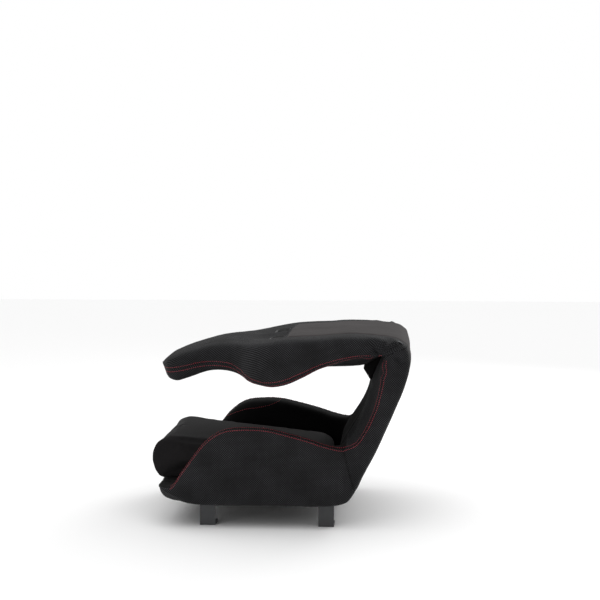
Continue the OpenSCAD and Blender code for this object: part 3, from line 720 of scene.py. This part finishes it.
for side, word in ((1, "right"), (-1, "left")):
    rings = []
    # down from the top cover to the front one: how far the ring grows, and how far it stands off
    for grow, fromAbove, drop in ((slotCut["lip"], True, -0.7), (1.5, True, 0.6),
                                  (-0.8, True, -1.5), (-1.2, True, -9), (-1.2, False, 9),
                                  (-0.8, False, 1.5), (1.5, False, -0.6),
                                  (slotCut["lip"], False, 0.7)):
        piece = upperMesh if fromAbove else upperPad
        rings.append([Vector((p.x * mm, p.y * mm, heightAt(piece, p, fromAbove) + drop * mm))
                      for p in slotOutline(side, grow)])
    deselectAll()
    bpy.ops.mesh.primitive_cube_add(size=1)
    cutter = bpy.context.object
    cutter.location = Vector((side * slotCut["x"], slotCut["y"], slotCut["middle"])) * mm
    cutter.scale = Vector((slotCut["width"], slotCut["depth"], slotCut["through"])) * mm
    settle(cutter)
    editPiece(cutter, "DESELECT", "EDGE")
    bpy.ops.object.mode_set(mode="OBJECT")
    for edge in cutter.data.edges:
        a, b = (cutter.data.vertices[k].co for k in edge.vertices)
        edge.select = abs(a.z - b.z) > 0.1
    bpy.ops.object.mode_set(mode="EDIT")
    bpy.ops.mesh.bevel(offset=slotCut["corner"] * mm, segments=8)
    bpy.ops.object.mode_set(mode="OBJECT")
    for piece in (upperMesh, upperPad):
        opening = piece.modifiers.new("slot", "BOOLEAN")
        opening.operation = "DIFFERENCE"
        opening.solver = "EXACT"
        opening.object = cutter
        applyModifiers(piece)
    bpy.data.objects.remove(cutter)
    liner = panelFrom("harnessSlotLiner" + word.capitalize(), rings, slotPlastic, -1,
                      closed=True)
    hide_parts("harness_slot_trim_" + word)
    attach(liner, "backrest")
print("harness slots are cut and lined")

# a soft core round the fold's axis, which shows when the backrest is raised
foldCore = {"half": 223, "angles": [0, 45, 90, 112, 130, 190, 225, 250, 290, 360],
            "radii": [18, 17.5, 17.5, 20.5, 25, 25.5, 25, 24, 19, 18], "round": 5}
deselectAll()
bpy.ops.mesh.primitive_cylinder_add(vertices=48, radius=0.02, depth=2 * foldCore["half"] * mm,
                                    end_fill_type="NGON", rotation=(0, math.pi / 2, 0))
core = bpy.context.object
settle(core)
lastAngle = len(foldCore["angles"]) - 1
for vertex in core.data.vertices:
    turn = math.degrees(math.atan2(vertex.co.z, vertex.co.y)) % 360
    k = max(i for i, a in enumerate(foldCore["angles"]) if a <= turn)
    nextAngle = foldCore["angles"][min(k + 1, lastAngle)]
    t = (turn - foldCore["angles"][k]) / max(1, nextAngle - foldCore["angles"][k])
    radius = valueAt(foldCore["radii"], min(k + t, lastAngle)) * mm
    vertex.co.y = radius * math.cos(math.radians(turn)) + foldY * mm
    vertex.co.z = radius * math.sin(math.radians(turn)) + foldZ * mm
rim = core.modifiers.new("rim", "BEVEL")
rim.width, rim.segments, rim.angle_limit = foldCore["round"] * mm, 4, math.radians(60)
applyModifiers(core)
core.name = "foldCoreRoll"
core.data.materials.append(innerSuede)
bpy.ops.object.shade_smooth_by_angle(angle=math.radians(coverSizes["crease"]))
dress(core, "seat")

# the pad that bunches up in the corner between the two halves
foldPad = {"half": 150, "voxel": 4.0, "crease": 0.9, "creasePitch": 23.0,
           "outline": [(213, 353), (226, 362), (243, 371), (258, 380), (262, 378), (252, 363),
                       (243, 348), (235, 330), (232, 321), (226, 330), (220, 340)]}
corners = len(foldPad["outline"])
outline = [between(foldPad["outline"] + foldPad["outline"][:2], t)
           for t in steps([(0, 3 * corners), (corners, 0)])[:-1]]
deselectAll()
bpy.ops.mesh.primitive_cylinder_add(vertices=len(outline), radius=0.02, depth=1.0,
                                    end_fill_type="NGON", rotation=(0, math.pi / 2, 0))
bunch = bpy.context.object
settle(bunch)
ring = sorted({round(math.atan2(v.co.z, v.co.y), 4) for v in bunch.data.vertices}, reverse=True)
for vertex in bunch.data.vertices:
    turn = math.atan2(vertex.co.z, vertex.co.y)
    k = min(range(len(ring)), key=lambda i: abs(ring[i] - turn))
    vertex.co = (math.copysign(foldPad["half"] * mm, vertex.co.x), outline[k].x * mm,
                 outline[k].y * mm)
editPiece(bunch, "SELECT")
bpy.ops.mesh.normals_make_consistent(inside=False)
bpy.ops.object.mode_set(mode="OBJECT")
remesh = bunch.modifiers.new("skin", "REMESH")
remesh.mode, remesh.voxel_size = "VOXEL", foldPad["voxel"] * mm
soften = bunch.modifiers.new("soften", "SMOOTH")
soften.factor, soften.iterations = 0.5, 6
applyModifiers(bunch)
for vertex in bunch.data.vertices:
    q = vertex.co / mm
    crease = math.sin(q.x / foldPad["creasePitch"] * math.pi + 2.5 * noise.noise(q / 50.0))
    vertex.co.y -= foldPad["crease"] * mm * crease * smoothRise(abs(q.x), 0, foldPad["half"])
    vertex.co.x *= 1 + 0.02 * noise.noise(q / 30.0)
bunch.name = "foldCornerPad"
bunch.data.materials.append(innerSuede)
bpy.ops.object.shade_smooth()
dress(bunch, "seat", ["fold_gusset_foam"])
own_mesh(bunch)
print("the fold's core and corner pad are made")

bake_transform(rearPanel)

# loose seat cushion: a foam slab in suede, swollen by a cloth simulation
cushionShape = {"voxel": 5.0, "shrink": 2.5, "pressure": 4.0, "frames": 20, "cap": 7.0,
                "soften": 14}
source = frame["nodes"]["seat_cushion_cover"]
deselectAll()
cushion = source.copy()
cushion.data = source.data.copy()
cushion.parent = None
for key in list(cushion.keys()):
    del cushion[key]
bpy.context.scene.collection.objects.link(cushion)
cushion.name = "seatCushion"
cushion.data.materials.clear()
cushion.data.materials.append(cushionSuede)
editPiece(cushion, "SELECT")
bpy.ops.mesh.remove_doubles(threshold=0.00005)
bpy.ops.object.mode_set(mode="OBJECT")
remesh = cushion.modifiers.new("skin", "REMESH")
remesh.mode, remesh.voxel_size = "VOXEL", cushionShape["voxel"] * mm
soften = cushion.modifiers.new("soften", "SMOOTH")
soften.factor, soften.iterations = 0.5, cushionShape["soften"]
applyModifiers(cushion)
# the cover node is a hollow shell, so its inner wall is dropped
middle = sum((v.co for v in cushion.data.vertices), Vector()) / len(cushion.data.vertices)
work = bmesh.new()
work.from_mesh(cushion.data)
left = set(work.verts)
islands = []
while left:
    island, todo = [], [left.pop()]
    while todo:
        vertex = todo.pop()
        island.append(vertex)
        for edge in vertex.link_edges:
            other = edge.other_vert(vertex)
            if other in left:
                left.discard(other)
                todo.append(other)
    islands.append(island)
islands.sort(key=len)
bmesh.ops.delete(work, geom=[v for island in islands[:-1] for v in island], context="VERTS")
work.to_mesh(cushion.data)
work.free()
for vertex in cushion.data.vertices:
    vertex.co -= vertex.normal * cushionShape["shrink"] * mm
rest = [v.co.copy() for v in cushion.data.vertices]
cloth = cushion.modifiers.new("swell", "CLOTH")
cloth.settings.use_pressure = True
cloth.settings.uniform_pressure_force = cushionShape["pressure"]
cloth.settings.effector_weights.gravity = 0
cloth.point_cache.frame_start, cloth.point_cache.frame_end = 1, cushionShape["frames"]
for step in range(1, cushionShape["frames"] + 1):
    bpy.context.scene.frame_set(step)
applyModifiers(cushion)
bpy.context.scene.frame_set(1)
for vertex, before in zip(cushion.data.vertices, rest):
    moved = vertex.co - before
    if moved.length > cushionShape["cap"] * mm:
        vertex.co = before + moved.normalized() * cushionShape["cap"] * mm
finer = cushion.modifiers.new("finer", "SUBSURF")
finer.levels = finer.render_levels = 1
applyModifiers(cushion)
bpy.ops.object.shade_smooth()
dress(cushion, "cushion", ["seat_cushion_foam", "seat_cushion_cover"])
print("the cushion is made")

# the front of each thigh bolster has a soft top pad down to a curved line of stitching
padSeam = [(-175, 150), (-153, 175), (-130, 188), (-105, 198), (-85, 204), (-67, 206), (-44, 210),
           (-29, 214), (-9, 222), (6, 232)]
padEnd = 178     # behind this the bolster is mesh again, up the back


def padSeamHeight(y):
    for (y0, z0), (y1, z1) in zip(padSeam, padSeam[1:]):
        if y0 <= y <= y1:
            return z0 + (z1 - z0) * (y - y0) / (y1 - y0)
    return 0 if y < padSeam[0][0] else 1000


for word in ("Left", "Right"):
    mesh = bpy.data.objects["lowerBolster" + word].data
    mesh.materials.append(meshCloth)
    mesh.materials.append(padSuede)
    for face in mesh.polygons:
        q = face.center / mm
        face.material_index = 1 if q.y > padEnd else 2 if q.z > padSeamHeight(q.y) else 0


# red top-stitching, each stitch a short rounded bar
stitch = {"length": 3.3, "width": 1.05, "pitch": 4.9, "apart": 4.6, "lift": 0.2}
deselectAll()
bpy.ops.mesh.primitive_uv_sphere_add(segments=6, ring_count=5, radius=0.5)
oneStitch = bpy.context.object
oneStitch.scale = (stitch["width"] * mm, stitch["length"] * mm, stitch["width"] * 0.7 * mm)
settle(oneStitch)
stitchVertices = [v.co.copy() for v in oneStitch.data.vertices]
stitchFaces = [tuple(p.vertices) for p in oneStitch.data.polygons]


def stitchRow(line, normals):
    # places along one row of thread: centre, direction and the cloth's own outward direction
    runs = runLengths(line)
    out, at, k = [], stitch["pitch"] * mm, 0
    while at < runs[-1] - stitch["pitch"] * mm:
        while runs[k + 1] < at:
            k += 1
        f = (at - runs[k]) / max(runs[k + 1] - runs[k], 1e-9)
        out.append((line[k].lerp(line[k + 1], f), (line[k + 1] - line[k]).normalized(),
                    normals[k].lerp(normals[k + 1], f).normalized()))
        at += stitch["pitch"] * mm
    return out


def besideColumn(gridData, column, offset, u0, u1):
    # a line on the cloth a fixed distance to one side of a column of its surface
    line, normals = [], []
    j0 = columns.index(column)
    for i, u in enumerate(gridData["rows"]):
        if not u0 <= u <= u1:
            continue
        row = gridData["points"][i]
        j, left = j0, abs(offset) * mm
        way = 1 if offset > 0 else -1
        while 0 < j < len(row) - 1 and (row[j + way] - row[j]).length < left:
            left -= (row[j + way] - row[j]).length
            j += way
        across = row[j + way] - row[j]
        p = row[j] + across.normalized() * left
        before = gridData["points"][max(i - 1, 0)][j]
        after = gridData["points"][min(i + 1, len(gridData["rows"]) - 1)][j]
        normal = (after - before).cross(across * way) * gridData["mirror"]
        line.append(p)
        normals.append(normal.normalized())
    return line, normals


def twinRows(gridData, u0, u1, extra=0):
    # one row of thread on each side of the seam between the side and the bolster
    places = []
    for offset in (-stitch["apart"], stitch["apart"] + extra):
        places += stitchRow(*besideColumn(gridData, 5, offset, u0, u1))
    return places


def sewn(name, places, body, thread=redThread):
    vertices, faces = [], []
    for centre, along, up in places:
        across = along.cross(up).normalized()
        up = across.cross(along)
        first = len(vertices)
        vertices += [centre + across * v.x + along * v.y + up * (v.z + stitch["lift"] * mm)
                     for v in stitchVertices]
        faces += [tuple(first + k for k in face) for face in stitchFaces]
    mesh = bpy.data.meshes.new(name)
    mesh.from_pydata(vertices, [], faces)
    mesh.validate()
    piece = bpy.data.objects.new(name, mesh)
    bpy.context.scene.collection.objects.link(piece)
    mesh.materials.append(thread)
    makeActive(piece)
    bpy.ops.object.shade_smooth()
    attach(piece, body)
    return piece


for side, word in ((1, "Right"), (-1, "Left")):
    sewn("lowerStitches" + word, twinRows(lowerGrids[side], 2.4, 25.8), "seat")
    # the plain seam between the seat's side and the back's side, closed with black thread
    seamRow = lowerGrids[side]["points"][lowerGrids[side]["rows"].index(15)]
    across = seamRow[columns.index(2):columns.index(5)]
    sewn("sideSeam" + word, stitchRow(across, [Vector((side, 0, 0))] * len(across)), "seat",
         innerSuede)
    sewn("upperStitches" + word, twinRows(upperGrids[side], 0.3, 21.3, 1.5), "backrest")
for side, word in ((1, "Right"), (-1, "Left")):
    bolster = bpy.data.objects["lowerBolster" + word]
    line, normals = [], []
    for t in steps([(1, 60), (len(padSeam) - 1, 0)]):
        p = between(padSeam, t)
        hit, place, normal, _ = bolster.ray_cast(Vector((0, p.x, p.y)) * mm,
                                                 Vector((side, 0, 0)))
        if hit:
            line.append(place)
            normals.append(normal)
    sewn("padStitches" + word, stitchRow(line, normals), "seat")
bpy.data.objects.remove(oneStitch)
print("stitching is made")

# CAD parts that stay as they are get their finishes
finishes = {"frame": (frameCoat, ["lower_frame", "upper_frame"]),
            "brackets": (bracketCoat, ["front_bracket", "rear_bracket"]),
            "plates": (plateZinc, ["hinge_plate_lower_left", "hinge_plate_lower_right",
                                   "hinge_plate_upper_left", "hinge_plate_upper_right"]),
            "fasteners": (brightZinc, ["bracket_bolts", "bracket_washers", "pivot_bolts",
                                       "pivot_nuts", "stop_pins"]),
            "bushes": (bronze, ["hinge_bushes"]),
            "straps": (webbing, ["seat_straps", "lower_back_straps", "upper_straps"])}
for material, names in finishes.values():
    for name in names:
        node = frame["nodes"][name]
        node.data.materials.clear()
        node.data.materials.append(material)
print("CAD parts have their finishes")

# camera, light and floor
deselectAll()
cameraView = {"at": (3.1997, 0.2877, 0.7159), "down": 0.06949, "turn": 0.07098, "lens": 81.84}
bpy.ops.object.camera_add(location=cameraView["at"])
camera = bpy.context.object
level = math.cos(cameraView["down"])
aim = Vector((-level * math.cos(cameraView["turn"]), -level * math.sin(cameraView["turn"]),
              -math.sin(cameraView["down"])))
camera.rotation_euler = aim.to_track_quat("-Z", "Y").to_euler()
camera.data.lens, camera.data.sensor_width = cameraView["lens"], 36
bpy.context.scene.camera = camera

# an even light from above, as from a large ceiling box
bpy.ops.object.light_add(type="SUN", location=(0, 0, 3))
ceiling = bpy.context.object
ceiling.name = "ceiling"
ceiling.data.energy, ceiling.data.angle = 1.9, math.radians(100)

lamps = [{"name": "cameraSide", "at": (2.6, -1.4, 1.3), "size": 1.6, "power": 12},
         {"name": "farSide", "at": (-1.8, 1.2, 1.5), "size": 1.4, "power": 18}]
lampsAim = Vector((0, 0, 0.25))
for lamp in lamps:
    bpy.ops.object.light_add(type="AREA", location=lamp["at"])
    light = bpy.context.object
    light.name = lamp["name"]
    light.data.size, light.data.energy = lamp["size"], lamp["power"]
    light.rotation_euler = (lampsAim - light.location).to_track_quat("-Z", "Y").to_euler()

world = bpy.data.worlds.new("studio")
world.use_nodes = True
bpy.context.scene.world = world
background = world.node_tree.nodes["Background"]
background.inputs["Color"].default_value = linear("#ffffff")
# a white backdrop to look at, which lights the seat more dimly than it shows
seen = addNode(world.node_tree, "ShaderNodeLightPath").outputs["Is Camera Ray"]
strength = addNode(world.node_tree, "ShaderNodeMapRange",
                   inputs={"Value": seen, "To Min": 0.42, "To Max": 1.0})
world.node_tree.links.new(strength.outputs["Result"], background.inputs["Strength"])
bpy.context.scene.view_settings.view_transform = "Standard"

bpy.ops.mesh.primitive_grid_add(x_subdivisions=4, y_subdivisions=4, size=14)
floor = bpy.context.object
floor.name = "floor"
# pale floor paint, even and slightly glossy
paint, tree, shader = newMaterial("palePaintedFloor", 0.7)
shader.inputs["Base Color"].default_value = linear("#fbfbfb")
floor.data.materials.append(paint)
print("camera, light and floor are set")
